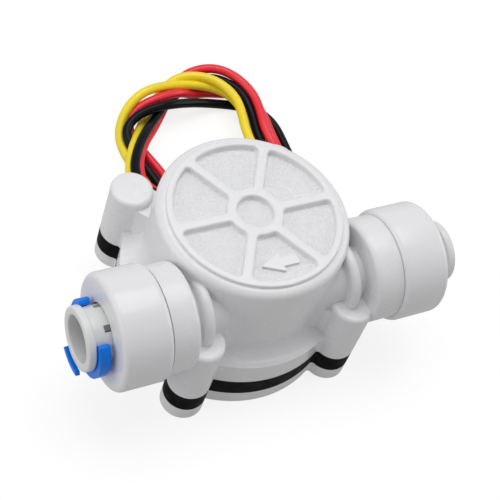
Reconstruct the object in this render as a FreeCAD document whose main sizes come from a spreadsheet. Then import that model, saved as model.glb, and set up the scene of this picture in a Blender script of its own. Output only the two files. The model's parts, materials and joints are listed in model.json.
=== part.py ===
import FreeCAD, Part
import math
import os
import re
import Sketcher

# Flow sensor for quarter inch push-fit tube: a round body with a paddle wheel, two ports
# in one line beside the wheel's axle, and a pulse circuit potted into the bottom cover.
# The origin is the middle of the cover's underside. +Z is up along the wheel's axle and
# the water runs towards -X. Millimetres.

SIZES = {
    # bottom cover, gasket and flange, from the floor up
    "cover_thickness": 2.3,
    "gasket_thickness": 3.1,
    "flange_thickness": 3.8,
    "flange_radius": 16.3,
    "flange_ledge": 2.6,
    "overall_height": 23.6,
    # round wall and crowned top
    "crown_inset": 1.3,
    "crown_step": 0.5,
    "crown_round": 0.2,
    "shoulder_round": 1.2,
    "wall_foot_round": 2.1,
    # sectors sunk into the top, with spokes between them
    "sector_count": 6,
    "crown_rim": 1.0,
    "sector_inner": 4.0,
    "sector_depth": 0.9,
    "sector_corner": 0.7,
    "sector_foot_round": 0.4,
    "sector_edge_round": 0.3,
    "spoke_width": 1.4,
    "hub_recess": 2.6,
    # flow arrow, raised from the front sector's floor
    "arrow_distance": 8.4,
    "arrow_length": 5.4,
    "arrow_width": 3.0,
    "arrow_shaft": 1.4,
    "arrow_rise": 0.4,
    # screw ears and their posts
    "ear_out": 1.202,
    "ear_angle": 48.705,
    "ear_radius": 3.1,
    "ear_blend": 0.5,
    "post_height": 15.4,
    "post_round": 0.6,
    "post_web": 4.8,
    "post_web_drop": 1.2,
    "pilot_radius": 1.15,
    "pilot_roof": 1.0,
    "screw_clearance": 0.2,
    # port line
    "port_inset": 7.7,
    "port_drop": 7.6,
    "neck_radius": 3.8,
    "ring_back": 5.9,
    "ring_length": 1.6,
    "ring_gap": 1.4,
    "ring_radius": 5.5,
    "collar_length": 4.0,
    "collar_radius": 7.45,
    "socket_radius": 6.9,
    "socket_length": 5.2,
    "edge_round": 0.5,
    "ring_round": 0.7,
    "collar_round": 0.8,
    # water way
    "wall_thickness": 2.5,
    "roof_thickness": 2.4,
    "passage_radius": 2.0,
    "jet_radius": 2.6,
    "jet_length": 4.0,
    "jet_bore": 1.2,
    "jet_mouth": 2.0,
    "fit_gap": 0.05,
    "stop_depth": 1.2,
    "tube_bore": 3.25,
    "stop_shoulder": 1.4,
    "seal_room": 2.1,
    "seal_bore": 5.0,
    "seal_section": 0.92,
    "spacer_length": 1.0,
    "cavity_radius": 5.1,
    # port caps
    "cap_radius": 8.1,
    "cap_stand": 0.1,
    "cap_front": 2.0,
    "cap_round": 0.9,
    "cap_back_round": 0.9,
    "cap_hole": 4.15,
    "hole_round": 0.25,
    "cap_ramp": 1.2,
    "cap_gap": 0.05,
    # collets
    "collet_stand": 3.45,
    "collet_length": 6.85,
    "collet_rim": 4.45,
    "collet_rim_length": 1.2,
    "rim_round": 0.3,
    "collet_neck": 3.95,
    "collet_head": 4.75,
    "collet_head_length": 1.8,
    "collet_ramp": 1.0,
    "slot_count": 6,
    "slot_width": 0.95,
    "slot_stop": 2.7,
    "collet_turn": 22,
    "teeth_inset": 0.7,
    "teeth_thickness": 0.3,
    "teeth_depth": 0.9,
    # lock clip on the outlet collet
    "clip_width": 1.6,
    "clip_inner": 4.02,
    "clip_outer": 5.35,
    "clip_drop": 0.35,
    "clip_mouth": 49.5,
    "clip_turn": -2,
    "tab_reach": 3.1,
    "tab_half_angle": 26,
    "web_half_angle": 10,
    "tab_thickness": 0.65,
    "strip_width": 0.6,
    "arm_round": 0.45,
    "clip_edge_round": 0.3,
    # cover's plug, circuit board and potting
    "plug_gap": 0.1,
    "plug_top": 10.0,
    "plug_roof": 2.4,
    "well_wall": 2.2,
    "board_ledge": 1.0,
    "board_thickness": 1.0,
    "board_gap": 0.2,
    "board_depth": 6.2,
    "chip_length": 4.1,
    "chip_width": 3.0,
    "chip_height": 1.3,
    "potting_recess": 0.4,
    "channel_width": 5.2,
    "channel_height": 1.75,
    # cover screws
    "screw_head_radius": 2.15,
    "screw_head_height": 1.25,
    "screw_sink": 1.3,
    "screw_end": 4.4,
    "slot_depth": 0.6,
    "cross_width": 0.6,
    "cross_length": 2.6,
    # paddle wheel, axle and bushes
    "wheel_gap": 0.9,
    "wheel_floor_gap": 0.8,
    "wheel_headroom": 0.8,
    "hub_radius": 2.3,
    "disc_inset": 1.7,
    "disc_thickness": 2.6,
    "vane_count": 8,
    "vane_thickness": 0.8,
    "vane_round": 0.6,
    "magnet_count": 4,
    "magnet_inset": 2.4,
    "magnet_radius": 1.25,
    "magnet_length": 2.2,
    "magnet_gap": 0.02,
    "axle_radius": 0.75,
    "axle_end": 0.7,
    "running_gap": 0.05,
    "bush_radius": 1.6,
    "bush_sink": 0.9,
    "bush_stand": 0.6,
    # wires, their loose coil and the plug at their end
    "wire_diameter": 1.5,
    "wire_pitch": 1.6,
    "wire_height": 0.8,
    "wire_seat": 0.6,
    "coil_across": 9.6,
    "coil_gap": 0.7,
    "coil_outer": 14.0,
    "coil_inner": 8.0,
    "coil_height": 4.7,
    "floor_gap": 0.05,
    "plug_beside": 0.7,
    "plug_rear": 4.6,
    "plug_length": 9.6,
    "plug_width": 9.8,
    "plug_height": 5.7,
    "pin_pitch": 2.5,
    "pin_cavity": 1.0,
    "cavity_depth": 6.6,
    "latch_rib": 0.7,
    "latch_height": 0.45,
}

# sizes that follow from the ones above, so that neighbours keep their clearances
FOLLOWING = {
    "wall_radius": "flange_radius - flange_ledge",
    "crown_radius": "wall_radius - crown_inset",
    "sector_outer": "crown_radius - crown_rim",
    "ear_across": "(flange_radius + ear_out) * cos(ear_angle * 1deg)",
    "ear_along": "(flange_radius + ear_out) * sin(ear_angle * 1deg)",
    "chamber_radius": "wall_radius - wall_thickness",
    "chamber_roof": "overall_height - roof_thickness",
    "port_offset": "flange_radius - port_inset",
    "port_height": "overall_height - port_drop",
    "ring_start": "flange_radius - ring_back",
    "ring_end": "ring_start + ring_length",
    "collar_start": "ring_end + ring_gap",
    "collar_end": "collar_start + collar_length",
    "socket_end": "collar_end + socket_length",
    "tube_stop": "collar_start + stop_depth",
    "seal_start": "tube_stop + stop_shoulder",
    "spacer_start": "seal_start + seal_room",
    "cap_back": "collar_end + cap_stand",
    "cap_face": "socket_end + cap_front",
    "collet_face": "cap_face + collet_stand",
    "collet_inner": "collet_face - collet_length",
    "collet_head_end": "collet_inner + collet_head_length",
    "slot_front": "collet_face - slot_stop",
    "teeth_position": "collet_inner + teeth_inset",
    "wheel_radius": "chamber_radius - wheel_gap",
    "wheel_bottom": "plug_top + wheel_floor_gap",
    "wheel_top": "chamber_roof - wheel_headroom",
    "disc_radius": "wheel_radius - disc_inset",
    "magnet_circle": "disc_radius - magnet_inset",
    "axle_bottom": "plug_top - bush_sink - axle_end",
    "axle_top": "chamber_roof + bush_sink + 0.1",
    "well_radius": "chamber_radius - well_wall",
    "screw_reach": "post_height - screw_end",
    "pilot_depth": "post_height - pilot_roof - cover_thickness - gasket_thickness",
    "coil_behind": "flange_radius + coil_gap + coil_outer",
    "plug_across": "flange_radius + plug_beside + plug_width / 2",
}

doc = FreeCAD.newDocument("FlowSensor")
sheet = doc.addObject("Spreadsheet::Sheet", "Sizes")
NAMES = [*SIZES, *FOLLOWING]
for row, name in enumerate(NAMES, start=1):
    sheet.set("A%d" % row, name)
    sheet.set("B%d" % row, str(SIZES[name]) if name in SIZES else "=" + FOLLOWING[name])
    sheet.setAlias("B%d" % row, name)
doc.recompute()

# levels and places that follow from the sizes
GASKET_BOTTOM = "cover_thickness"
FLANGE_BOTTOM = "(cover_thickness + gasket_thickness)"
FLANGE_TOP = "(cover_thickness + gasket_thickness + flange_thickness)"
SHOULDER = "(overall_height - crown_step)"
SECTOR_FLOOR = "(overall_height - sector_depth)"
EARS = [(sx + "ear_across", sy + "ear_along") for sx in ("", "-") for sy in ("", "-")]

finished = []


def sized(text):
    """The expression with each size name pointing at its cell."""
    return re.sub(r"[A-Za-z_]\w*", lambda m: "Sizes." + m.group() if m.group() in NAMES else m.group(), text)


def measure(text):
    """The value of an expression of size names."""
    found = sheet.evalExpression(sized(text))
    return float(getattr(found, "Value", found))


def new_body(label):
    body = doc.addObject("PartDesign::Body", label)
    body.Label = label
    finished.append(body)
    return body


def origin_feature(body, role):
    return next(f for f in body.Origin.OriginFeatures if f.Role == role)


def new_sketch(body, plane="XY_Plane", lift="0", across="0", up="0"):
    """An empty sketch on one of the body's own planes, moved along the plane's normal by lift."""
    sketch = body.newObject("Sketcher::SketchObject", "Sketch")
    sketch.AttachmentSupport = [(origin_feature(body, plane), "")]
    sketch.MapMode = "FlatFace"
    for axis, text in (("x", across), ("y", up), ("z", lift)):
        if text != "0":
            sketch.setExpression("AttachmentOffset.Base." + axis, sized(text))
    return sketch


def fix_point(sketch, geometry, position, x, y):
    """Hold a point of the sketch at two expressions, measured from the sketch's origin."""
    for kind, axis, text in (("DistanceX", -2, x), ("DistanceY", -1, y)):
        if text == "0":
            sketch.addConstraint(Sketcher.Constraint("PointOnObject", geometry, position, axis))
            continue
        index = sketch.addConstraint(Sketcher.Constraint(kind, -1, 1, geometry, position, measure(text)))
        sketch.setExpression("Constraints[%d]" % index, sized(text))


def add_outline(sketch, corners):
    """A closed outline through corners, each two expressions and, where it is round, a radius."""
    places = [FreeCAD.Vector(measure(corner[0]), measure(corner[1]), 0) for corner in corners]
    count = len(places)
    arrivals = list(places)
    leaves = list(places)
    arcs = {}
    for i, corner in enumerate(corners):
        if len(corner) == 3:
            arrivals[i], leaves[i], arcs[i] = corner_arc(places[i - 1], places[i], places[(i + 1) % count],
                                                         measure(corner[2]))
    first = sketch.GeometryCount
    for i in range(count):
        sketch.addGeometry(Part.LineSegment(leaves[i], arrivals[(i + 1) % count]))
    for i, corner in enumerate(corners):
        before = first + (i - 1) % count
        after = first + i
        if i not in arcs:
            sketch.addConstraint(Sketcher.Constraint("Coincident", before, 2, after, 1))
            fix_point(sketch, after, 1, corner[0], corner[1])
            continue
        arc, arrive_end = arcs[i]
        index = sketch.addGeometry(arc)
        sketch.addConstraint(Sketcher.Constraint("Tangent", before, 2, index, arrive_end))
        sketch.addConstraint(Sketcher.Constraint("Tangent", index, 3 - arrive_end, after, 1))
        held = sketch.addConstraint(Sketcher.Constraint("Radius", index, measure(corner[2])))
        sketch.setExpression("Constraints[%d]" % held, sized(corner[2]))
        point = sketch.addGeometry(Part.Point(places[i]), True)
        sketch.addConstraint(Sketcher.Constraint("PointOnObject", point, 1, before))
        sketch.addConstraint(Sketcher.Constraint("PointOnObject", point, 1, after))
        fix_point(sketch, point, 1, corner[0], corner[1])


def corner_arc(before, corner, after, radius):
    """Where a rounded corner starts and ends, its arc, and which end of the arc comes first."""
    back = (before - corner).normalize()
    onward = (after - corner).normalize()
    half = back.getAngle(onward) / 2
    cut = radius / math.tan(half)
    arrive = corner + back * cut
    leave = corner + onward * cut
    centre = corner + (back + onward).normalize() * (radius / math.sin(half))
    circle = Part.Circle(centre, FreeCAD.Vector(0, 0, 1), radius)
    angles = [math.atan2(end.y - centre.y, end.x - centre.x) for end in (arrive, leave)]
    left_turn = onward.cross(back).z > 0
    if left_turn:
        return arrive, leave, (Part.ArcOfCircle(circle, angles[0], angles[1]), 1)
    return arrive, leave, (Part.ArcOfCircle(circle, angles[1], angles[0]), 2)


def add_circle(sketch, x, y, radius):
    centre = FreeCAD.Vector(measure(x), measure(y), 0)
    index = sketch.addGeometry(Part.Circle(centre, FreeCAD.Vector(0, 0, 1), measure(radius)))
    fix_point(sketch, index, 3, x, y)
    held = sketch.addConstraint(Sketcher.Constraint("Radius", index, measure(radius)))
    sketch.setExpression("Constraints[%d]" % held, sized(radius))


def add_box_outline(sketch, x0, y0, x1, y1):
    add_outline(sketch, [(x0, y0), (x1, y0), (x1, y1), (x0, y1)])


def feature(body, kind, profile, length=None, reverse=False):
    made = body.newObject("PartDesign::" + kind, kind)
    made.Profile = profile
    made.Reversed = reverse
    if length:
        made.setExpression("Length", sized(length))
    profile.Visibility = False
    return made


def turned(body, kind, sketch, axis="H_Axis"):
    """A full turn of the sketch about one of its own axes, added or cut."""
    made = body.newObject("PartDesign::" + kind, kind)
    made.Profile = sketch
    made.ReferenceAxis = (sketch, [axis])
    made.Angle = 360
    return made


def check_solid(body, before=None, smaller=False):
    """Stop if the last feature failed, or changed the volume the wrong way."""
    doc.recompute()
    shape = body.Shape
    if shape.isNull() or not shape.isValid():
        raise RuntimeError("%s has no valid solid after %s" % (body.Label, body.Tip.Name))
    if before is not None and ((shape.Volume < before - 1e-6) != smaller):
        raise RuntimeError("%s: %s cut or added nothing" % (body.Label, body.Tip.Name))
    return shape.Volume


def mirrored(body, original, plane="YZ_Plane"):
    made = body.newObject("PartDesign::Mirrored", "Mirrored")
    made.Originals = [original]
    made.MirrorPlane = (origin_feature(body, plane), [""])
    body.Tip = made
    return made


def around(body, original, axis, count):
    made = body.newObject("PartDesign::PolarPattern", "PolarPattern")
    made.Originals = [original]
    made.Axis = (origin_feature(body, axis), [""])
    made.Angle = 360
    made.setExpression("Occurrences", sized(count))
    body.Tip = made
    return made


def soften(body, radius, chosen):
    """Round the edges of the body that chosen(edge) picks."""
    doc.recompute()
    base = body.Tip
    names = ["Edge%d" % (i + 1) for i, edge in enumerate(base.Shape.Edges) if chosen(edge)]
    if not names:
        raise RuntimeError("no edge to round on " + body.Label)
    made = body.newObject("PartDesign::Fillet", "Fillet")
    made.Base = (base, names)
    made.setExpression("Radius", sized(radius))
    check_solid(body)
    return made


def is_circle(edge, radius, tolerance=0.01):
    return isinstance(edge.Curve, Part.Circle) and abs(edge.Curve.Radius - radius) < tolerance


def ring_edge(edge, axis, radius, place):
    """A circle about a line along axis (0 for X, 2 for Z), at one place along it."""
    centre = edge.Curve.Center if isinstance(edge.Curve, Part.Circle) else None
    return is_circle(edge, measure(radius)) and abs(centre[axis] - measure(place)) < 0.01


def upright(edge, low, high):
    """A straight edge along Z that runs from low to high."""
    box = edge.BoundBox
    straight = isinstance(edge.Curve, (Part.Line, Part.LineSegment))
    return straight and abs(box.ZMin - measure(low)) < 0.01 and abs(box.ZMax - measure(high)) < 0.01 \
        and box.XLength < 0.01 and box.YLength < 0.01


def level_edge(edge, height):
    """An edge of the sunk sectors that lies at one height, inside the crown's rim."""
    box = edge.BoundBox
    inside = max(abs(box.XMin), abs(box.XMax), abs(box.YMin), abs(box.YMax)) < measure("sector_outer") + 0.1
    return inside and abs(box.ZMin - measure(height)) < 0.01 and abs(box.ZMax - measure(height)) < 0.01


# housing: body, ports and screw posts, moulded in one piece

def housing():
    body = new_body("housing")

    # round wall, crowned top and flange
    sketch = new_sketch(body, "XZ_Plane")
    add_outline(sketch, [
        ("0", FLANGE_BOTTOM), ("flange_radius", FLANGE_BOTTOM), ("flange_radius", FLANGE_TOP),
        ("wall_radius", FLANGE_TOP, "wall_foot_round"), ("wall_radius", SHOULDER, "shoulder_round"),
        ("crown_radius", SHOULDER), ("crown_radius", "overall_height", "crown_round"),
        ("0", "overall_height")])
    turned(body, "Revolution", sketch, "V_Axis")
    check_solid(body)

    # ears: the flange swells round each screw, with a hollow blend on both sides
    sketch = new_sketch(body, lift=FLANGE_BOTTOM)
    for x, y in EARS:
        add_circle(sketch, x, y, "ear_radius")
    feature(body, "Pad", sketch, "flange_thickness")
    check_solid(body)
    soften(body, "ear_blend", lambda e: upright(e, FLANGE_BOTTOM, FLANGE_TOP)
           and e.BoundBox.Center.x ** 2 + e.BoundBox.Center.y ** 2 < (measure("flange_radius") + 0.1) ** 2
           and e.BoundBox.Center.x ** 2 + e.BoundBox.Center.y ** 2 > (measure("flange_radius") - 0.1) ** 2)

    # posts that the cover screws bite into
    sketch = new_sketch(body, lift=FLANGE_BOTTOM)
    for x, y in EARS:
        add_circle(sketch, x, y, "ear_radius")
    feature(body, "Pad", sketch, "post_height - " + FLANGE_BOTTOM)
    check_solid(body)
    soften(body, "post_round", lambda e: is_circle(e, measure("ear_radius"))
           and abs(e.Curve.Center.z - measure("post_height")) < 0.01)

    # webs that tie the posts to the wall
    sketch = new_sketch(body, lift=FLANGE_BOTTOM)
    for sx in ("", "-"):
        for sy in ("", "-"):
            add_outline(sketch, web_corners(sx, sy))
    feature(body, "Pad", sketch, "post_height - post_web_drop - " + FLANGE_BOTTOM)
    check_solid(body)

    # neck: a half round bar on a web that stands on the flange, through both ports
    sketch = new_sketch(body, "YZ_Plane", lift="-collar_start - edge_round")
    low = FLANGE_TOP + " - wall_foot_round"
    add_box_outline(sketch, "-port_offset - neck_radius", low, "-port_offset + neck_radius", "port_height")
    feature(body, "Pad", sketch, "2 * (collar_start + edge_round)")
    check_solid(body)

    # neck top, ring, collar and socket of one port, and the same mirrored
    sketch = new_sketch(body, "XZ_Plane", lift="port_offset", up="port_height")
    add_outline(sketch, [
        ("0", "0"), ("0", "neck_radius"), ("ring_start", "neck_radius"),
        ("ring_start", "ring_radius", "ring_round"), ("ring_end", "ring_radius", "ring_round"),
        ("ring_end", "neck_radius"), ("collar_start", "neck_radius"),
        ("collar_start", "collar_radius", "collar_round"), ("collar_end", "collar_radius"),
        ("collar_end", "socket_radius"), ("socket_end", "socket_radius"), ("socket_end", "0")])
    port = turned(body, "Revolution", sketch)
    check_solid(body)
    mirrored(body, port)
    check_solid(body)

    # wheel chamber, open from below
    sketch = new_sketch(body, lift=FLANGE_BOTTOM)
    add_circle(sketch, "0", "0", "chamber_radius")
    volume = check_solid(body)
    feature(body, "Pocket", sketch, "chamber_roof - " + FLANGE_BOTTOM, reverse=True)
    volume = check_solid(body, volume, smaller=True)

    # water way of one port, from the chamber out to the collet's cavity, and mirrored
    sketch = new_sketch(body, "XZ_Plane", lift="port_offset", up="port_height")
    add_outline(sketch, [
        ("0", "0"), ("0", "passage_radius"), ("tube_stop", "passage_radius"), ("tube_stop", "tube_bore"),
        ("seal_start", "tube_bore"), ("seal_start", "seal_bore"), ("spacer_start", "seal_bore"),
        ("spacer_start", "cavity_radius"), ("socket_end + 1", "cavity_radius"), ("socket_end + 1", "0")])
    way = turned(body, "Groove", sketch)
    volume = check_solid(body, volume, smaller=True)
    mirrored(body, way)
    volume = check_solid(body, volume, smaller=True)

    # seat of the jet in the inlet
    sketch = new_sketch(body, "XZ_Plane", lift="port_offset", up="port_height")
    add_box_outline(sketch, "tube_stop - jet_length", "0", "tube_stop", "jet_radius")
    turned(body, "Groove", sketch)
    volume = check_solid(body, volume, smaller=True)

    # pilot holes in the posts
    sketch = new_sketch(body, lift=FLANGE_BOTTOM)
    for x, y in EARS:
        add_circle(sketch, x, y, "pilot_radius")
    feature(body, "Pocket", sketch, "pilot_depth", reverse=True)
    volume = check_solid(body, volume, smaller=True)

    # seats of the upper bush and the axle in the chamber's roof
    sketch = new_sketch(body, lift="chamber_roof - 0.01")
    add_circle(sketch, "0", "0", "bush_radius")
    feature(body, "Pocket", sketch, "bush_sink + 0.01", reverse=True)
    volume = check_solid(body, volume, smaller=True)
    sketch = new_sketch(body, lift="chamber_roof + bush_sink - 0.01")
    add_circle(sketch, "0", "0", "axle_radius")
    feature(body, "Pocket", sketch, "axle_top - chamber_roof - bush_sink + 0.01", reverse=True)
    volume = check_solid(body, volume, smaller=True)

    # sectors sunk into the top, six round the middle
    sketch = new_sketch(body, lift="overall_height")
    add_sector(sketch)
    sector = feature(body, "Pocket", sketch, "sector_depth")
    volume = check_solid(body, volume, smaller=True)
    around(body, sector, "Z_Axis", "sector_count")
    volume = check_solid(body, volume, smaller=True)
    sketch = new_sketch(body, lift="overall_height")
    add_circle(sketch, "0", "0", "hub_recess")
    feature(body, "Pocket", sketch, "sector_depth")
    volume = check_solid(body, volume, smaller=True)
    soften(body, "sector_corner", lambda e: upright(e, SECTOR_FLOOR, "overall_height")
           and e.BoundBox.Center.x ** 2 + e.BoundBox.Center.y ** 2 > (measure("hub_recess") + 0.2) ** 2)
    soften(body, "sector_foot_round", lambda e: level_edge(e, SECTOR_FLOOR))
    soften(body, "sector_edge_round", lambda e: level_edge(e, "overall_height"))

    # flow arrow in the front sector
    sketch = new_sketch(body, lift=SECTOR_FLOOR)
    add_arrow(sketch)
    feature(body, "Pad", sketch, "arrow_rise")
    check_solid(body)


def web_corners(sx, sy):
    """The four corners of the web from the body's wall to one screw post."""
    corners = []
    for reach, side in (("(wall_radius - 1)", "-"), ("(flange_radius + ear_out)", "-"),
                        ("(flange_radius + ear_out)", "+"), ("(wall_radius - 1)", "+")):
        x = "%s(%s * cos(ear_angle * 1deg) %s post_web / 2 * sin(ear_angle * 1deg))"
        y = "%s(%s * sin(ear_angle * 1deg) %s post_web / 2 * cos(ear_angle * 1deg))"
        other = "+" if side == "-" else "-"
        corners.append((x % (sx, reach, side), y % (sy, reach, other)))
    return corners


def add_sector(sketch):
    """One sector between two spokes: two arcs and two edges that run along the spokes."""
    half = "(spoke_width / 2)"
    count = "sector_count"
    radii = {"inner": "sector_inner", "outer": "sector_outer"}
    corners = {}
    for name, radius in radii.items():
        lean = "asin(%s / %s)" % (half, radius)
        corners[name, 0] = ("%s * cos(%s)" % (radius, lean), half)
        corners[name, 1] = ("%s * cos(360 deg / %s - %s)" % (radius, count, lean),
                            "%s * sin(360 deg / %s - %s)" % (radius, count, lean))
    points = {key: FreeCAD.Vector(measure(x), measure(y), 0) for key, (x, y) in corners.items()}

    def arc(name):
        start, end = points[name, 0], points[name, 1]
        circle = Part.Circle(FreeCAD.Vector(0, 0, 0), FreeCAD.Vector(0, 0, 1), measure(radii[name]))
        return Part.ArcOfCircle(circle, math.atan2(start.y, start.x), math.atan2(end.y, end.x))

    sketch.addGeometry(arc("outer"))
    sketch.addGeometry(Part.LineSegment(points["outer", 1], points["inner", 1]))
    sketch.addGeometry(arc("inner"))
    sketch.addGeometry(Part.LineSegment(points["inner", 0], points["outer", 0]))
    for first, first_end, second, second_end in ((0, 2, 1, 1), (1, 2, 2, 2), (2, 1, 3, 1), (3, 2, 0, 1)):
        sketch.addConstraint(Sketcher.Constraint("Coincident", first, first_end, second, second_end))
    for arc_index in (0, 2):
        sketch.addConstraint(Sketcher.Constraint("Coincident", arc_index, 3, -1, 1))
    fix_point(sketch, 3, 2, *corners["outer", 0])
    fix_point(sketch, 3, 1, *corners["inner", 0])
    for name, position in (("outer", 1), ("inner", 2)):
        x = corners[name, 1][0]
        index = sketch.addConstraint(Sketcher.Constraint("DistanceX", -1, 1, 1, position, measure(x)))
        sketch.setExpression("Constraints[%d]" % index, sized(x))


def add_arrow(sketch):
    """An arrow along -X, centred on the front sector."""
    tip = "-arrow_length / 2"
    neck = "-arrow_length / 2 + arrow_width"
    tail = "arrow_length / 2"
    upper = "-arrow_distance + arrow_%s / 2"
    lower = "-arrow_distance - arrow_%s / 2"
    add_outline(sketch, [
        (tip, "-arrow_distance"), (neck, lower % "width"), (neck, lower % "shaft"), (tail, lower % "shaft"),
        (tail, upper % "shaft"), (neck, upper % "shaft"), (neck, upper % "width")])


# pieces with the flange's outline: gasket and bottom cover

def flange_plate(body, bottom, thickness):
    """The flange's outline with its four ears, as thick as asked."""
    sketch = new_sketch(body, lift=bottom)
    add_circle(sketch, "0", "0", "flange_radius")
    feature(body, "Pad", sketch, thickness)
    sketch = new_sketch(body, lift=bottom)
    for x, y in EARS:
        add_circle(sketch, x, y, "ear_radius")
    feature(body, "Pad", sketch, thickness)
    check_solid(body)
    soften(body, "ear_blend", lambda e: upright(e, bottom, "%s + %s" % (bottom, thickness))
           and e.BoundBox.Center.x ** 2 + e.BoundBox.Center.y ** 2 > (measure("flange_radius") - 0.1) ** 2
           and e.BoundBox.Center.x ** 2 + e.BoundBox.Center.y ** 2 < (measure("flange_radius") + 0.1) ** 2)


def gasket():
    body = new_body("gasket")
    flange_plate(body, GASKET_BOTTOM, "gasket_thickness")
    volume = check_solid(body)
    sketch = new_sketch(body, lift=GASKET_BOTTOM)
    add_circle(sketch, "0", "0", "chamber_radius")
    for x, y in EARS:
        add_circle(sketch, x, y, "pilot_radius + screw_clearance")
    feature(body, "Pocket", sketch, "gasket_thickness", reverse=True)
    check_solid(body, volume, smaller=True)


def bottom_cover():
    body = new_body("bottom_cover")
    flange_plate(body, "0", "cover_thickness")

    # plug that closes the wheel chamber
    sketch = new_sketch(body, lift="cover_thickness")
    add_circle(sketch, "0", "0", "chamber_radius - plug_gap")
    feature(body, "Pad", sketch, "plug_top - cover_thickness")
    volume = check_solid(body)

    # well for the board and the potting, with a ledge that the board rests against
    sketch = new_sketch(body)
    add_circle(sketch, "0", "0", "well_radius")
    feature(body, "Pocket", sketch, "board_depth", reverse=True)
    volume = check_solid(body, volume, smaller=True)
    sketch = new_sketch(body)
    add_circle(sketch, "0", "0", "well_radius - board_ledge")
    feature(body, "Pocket", sketch, "plug_top - plug_roof", reverse=True)
    volume = check_solid(body, volume, smaller=True)

    # channel for the wires, open below and at the back
    sketch = new_sketch(body)
    add_box_outline(sketch, "-channel_width / 2", "well_radius - 1", "channel_width / 2", "flange_radius + 1")
    feature(body, "Pocket", sketch, "channel_height", reverse=True)
    volume = check_solid(body, volume, smaller=True)

    # seats of the lower bush and the axle
    sketch = new_sketch(body, lift="plug_top")
    add_circle(sketch, "0", "0", "bush_radius")
    feature(body, "Pocket", sketch, "bush_sink")
    volume = check_solid(body, volume, smaller=True)
    sketch = new_sketch(body, lift="plug_top - bush_sink")
    add_circle(sketch, "0", "0", "axle_radius")
    feature(body, "Pocket", sketch, "plug_top - bush_sink - axle_bottom")
    volume = check_solid(body, volume, smaller=True)

    # screw holes with sunk seats for the heads
    sketch = new_sketch(body)
    for x, y in EARS:
        add_circle(sketch, x, y, "pilot_radius + screw_clearance")
    feature(body, "Pocket", sketch, "cover_thickness", reverse=True)
    volume = check_solid(body, volume, smaller=True)
    sketch = new_sketch(body)
    for x, y in EARS:
        add_circle(sketch, x, y, "screw_head_radius + screw_clearance")
    feature(body, "Pocket", sketch, "screw_sink", reverse=True)
    check_solid(body, volume, smaller=True)


def cover_screws():
    """Four self-tapping screws with cross recesses, as separate solids in one node."""
    screws = []
    for x, y in EARS:
        screw = doc.addObject("PartDesign::Body", "Screw")
        sketch = new_sketch(screw, "XZ_Plane")
        head_bottom = "screw_sink - screw_head_height"
        add_outline(sketch, [
            ("0", head_bottom), ("screw_head_radius - 0.4", head_bottom),
            ("screw_head_radius", head_bottom + " + 0.5"), ("screw_head_radius", "screw_sink"),
            ("pilot_radius", "screw_sink"), ("pilot_radius", "screw_reach"),
            ("pilot_radius - 0.6", "screw_reach + 1.2"), ("0", "screw_reach + 1.2")])
        turned(screw, "Revolution", sketch, "V_Axis")
        doc.recompute()
        volume = screw.Shape.Volume
        sketch = new_sketch(screw, lift=head_bottom)
        add_outline(sketch, cross_corners())
        feature(screw, "Pocket", sketch, "slot_depth", reverse=True)
        check_solid(screw, volume, smaller=True)
        screw.setExpression("Placement.Base.x", sized(x))
        screw.setExpression("Placement.Base.y", sized(y))
        screws.append(screw)
    group = doc.addObject("Part::Compound", "cover_screws")
    group.Label = "cover_screws"
    group.Links = screws
    finished.append(group)


def cross_corners():
    """The twelve corners of a cross recess."""
    near = "cross_width / 2"
    far = "cross_length / 2"
    return [
        (near, near), (far, near), (far, "-" + near), (near, "-" + near),
        (near, "-" + far), ("-" + near, "-" + far), ("-" + near, "-" + near), ("-" + far, "-" + near),
        ("-" + far, near), ("-" + near, near), ("-" + near, far), (near, far)]


# paddle wheel and what it turns on

def paddle_wheel():
    body = new_body("paddle_wheel")
    sketch = new_sketch(body, "XZ_Plane")
    disc_top = "(wheel_bottom + disc_thickness)"
    add_outline(sketch, [
        ("axle_radius + running_gap", "wheel_bottom"), ("disc_radius", "wheel_bottom"),
        ("disc_radius", disc_top), ("hub_radius", disc_top), ("hub_radius", "wheel_top"),
        ("axle_radius + running_gap", "wheel_top")])
    turned(body, "Revolution", sketch, "V_Axis")
    volume = check_solid(body)
    sketch = new_sketch(body, lift=disc_top)
    inner = "(axle_radius + hub_radius) / 2"
    add_box_outline(sketch, inner, "-vane_thickness / 2", "wheel_radius", "vane_thickness / 2")
    vane = feature(body, "Pad", sketch, "wheel_top - " + disc_top)
    check_solid(body)
    around(body, vane, "Z_Axis", "vane_count")
    volume = check_solid(body)
    sketch = new_sketch(body, lift="wheel_bottom")
    add_circle(sketch, "0", "magnet_circle", "magnet_radius + magnet_gap")
    seat = feature(body, "Pocket", sketch, "magnet_length", reverse=True)
    volume = check_solid(body, volume, smaller=True)
    around(body, seat, "Z_Axis", "magnet_count")
    check_solid(body, volume, smaller=True)
    soften(body, "vane_round", lambda e: abs(e.BoundBox.ZMin - measure("wheel_top")) < 0.01
           and abs(e.BoundBox.ZMax - measure("wheel_top")) < 0.01
           and isinstance(e.Curve, (Part.Line, Part.LineSegment))
           and abs(e.Length - measure("vane_thickness")) < 0.01)


def wheel_magnets():
    magnets = []
    for i in range(int(measure("magnet_count"))):
        magnet = doc.addObject("Part::Cylinder", "Magnet")
        magnet.setExpression("Radius", sized("magnet_radius"))
        magnet.setExpression("Height", sized("magnet_length"))
        turn = "(%d * 360 deg / magnet_count)" % i
        magnet.setExpression("Placement.Base.x", sized("magnet_circle * sin(%s)" % turn))
        magnet.setExpression("Placement.Base.y", sized("magnet_circle * cos(%s)" % turn))
        magnet.setExpression("Placement.Base.z", sized("wheel_bottom"))
        magnets.append(magnet)
    group = doc.addObject("Part::Compound", "wheel_magnets")
    group.Label = "wheel_magnets"
    group.Links = magnets
    finished.append(group)


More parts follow.
